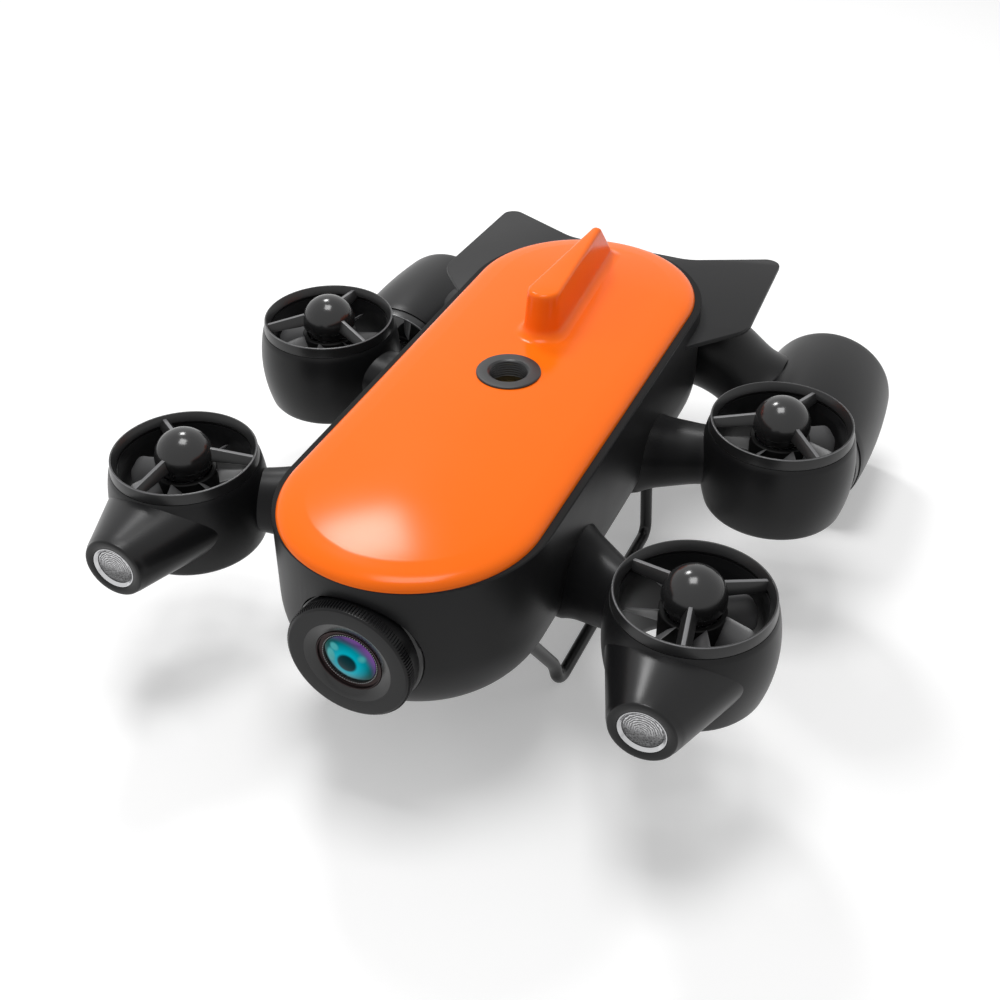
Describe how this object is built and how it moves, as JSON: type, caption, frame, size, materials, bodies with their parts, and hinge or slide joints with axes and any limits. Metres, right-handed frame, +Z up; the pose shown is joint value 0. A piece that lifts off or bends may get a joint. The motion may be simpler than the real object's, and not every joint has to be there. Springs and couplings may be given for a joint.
{
  "type": "underwater inspection rov",
  "caption": "Compact underwater inspection vehicle: stadium hull with crowned cover and fin, ducted thrusters on arms, nose camera window, lamps and landing skids.",
  "frame": {"origin": "centre of the overall box on the ground under the skids", "axes": "+Z up, -Y towards the camera window, +Y towards the tail wing, +X to the right-hand side of someone who looks at it from the front; nodes named right stand on +X"},
  "size_m": [0.3502, 0.3883, 0.165],
  "materials": {
    "black_plastic": "satin",
    "orange_plastic": "gloss",
    "gloss_black": "gloss",
    "black_metal": "satin",
    "rubber": "matte",
    "glass": "gloss",
    "bright_metal": "polished",
    "motor_metal": "satin",
    "contact": "satin",
    "board": "satin",
    "battery_wrap": "satin"
  },
  "bodies": {
    "vehicle": {"hull_shell": "black_plastic", "top_cover": "orange_plastic", "cover_seal": "rubber", "tail_wing": "black_plastic", "port_ring": "black_metal", "port_socket": "contact", "lens_collar": "black_plastic", "lens_ring": "black_metal", "lens_bezel": "black_metal", "lens_glass": "glass", "camera_module": "black_plastic", "battery_pack": "battery_wrap", "main_board": "board", "duct_front_left": "black_plastic", "guard_front_left": "gloss_black", "motor_front_left": "motor_metal", "duct_front_right": "black_plastic", "guard_front_right": "gloss_black", "motor_front_right": "motor_metal", "duct_rear_left": "black_plastic", "guard_rear_left": "gloss_black", "motor_rear_left": "motor_metal", "duct_rear_right": "black_plastic", "guard_rear_right": "gloss_black", "motor_rear_right": "motor_metal", "duct_tail_left": "black_plastic", "guard_tail_left": "gloss_black", "motor_tail_left": "motor_metal", "duct_tail_right": "black_plastic", "guard_tail_right": "gloss_black", "motor_tail_right": "motor_metal", "arm_front_left": "black_plastic", "arm_front_right": "black_plastic", "arm_rear_left": "black_plastic", "arm_rear_right": "black_plastic", "arm_tail_left": "black_plastic", "arm_tail_right": "black_plastic", "lamp_housing_left": "black_plastic", "lamp_housing_right": "black_plastic", "lamp_reflector_left": "bright_metal", "lamp_reflector_right": "bright_metal", "lamp_lens_left": "glass", "lamp_lens_right": "glass", "skid_left": "black_metal", "skid_right": "black_metal"},
    "propeller_front_left": {"propeller_front_left": "black_plastic"},
    "propeller_front_right": {"propeller_front_right": "black_plastic"},
    "propeller_rear_left": {"propeller_rear_left": "black_plastic"},
    "propeller_rear_right": {"propeller_rear_right": "black_plastic"},
    "propeller_tail_left": {"propeller_tail_left": "black_plastic"},
    "propeller_tail_right": {"propeller_tail_right": "black_plastic"}
  },
  "joints": [
    {"name": "spin_front_left", "type": "hinge", "parent": "vehicle", "child": "propeller_front_left", "pos_m": [-0.1345, -0.11535, 0.1177], "axis": [0, 0, 1], "continuous": true},
    {"name": "spin_front_right", "type": "hinge", "parent": "vehicle", "child": "propeller_front_right", "pos_m": [0.1345, -0.11535, 0.1177], "axis": [0, 0, 1], "continuous": true},
    {"name": "spin_rear_left", "type": "hinge", "parent": "vehicle", "child": "propeller_rear_left", "pos_m": [-0.1345, 0.03365, 0.1177], "axis": [0, 0, 1], "continuous": true},
    {"name": "spin_rear_right", "type": "hinge", "parent": "vehicle", "child": "propeller_rear_right", "pos_m": [0.1345, 0.03365, 0.1177], "axis": [0, 0, 1], "continuous": true},
    {"name": "spin_tail_left", "type": "hinge", "parent": "vehicle", "child": "propeller_tail_left", "pos_m": [-0.1309, 0.10345, 0.0456], "axis": [0, 1, 0], "continuous": true},
    {"name": "spin_tail_right", "type": "hinge", "parent": "vehicle", "child": "propeller_tail_right", "pos_m": [0.1309, 0.10345, 0.0456], "axis": [0, 1, 0], "continuous": true}
  ]
}
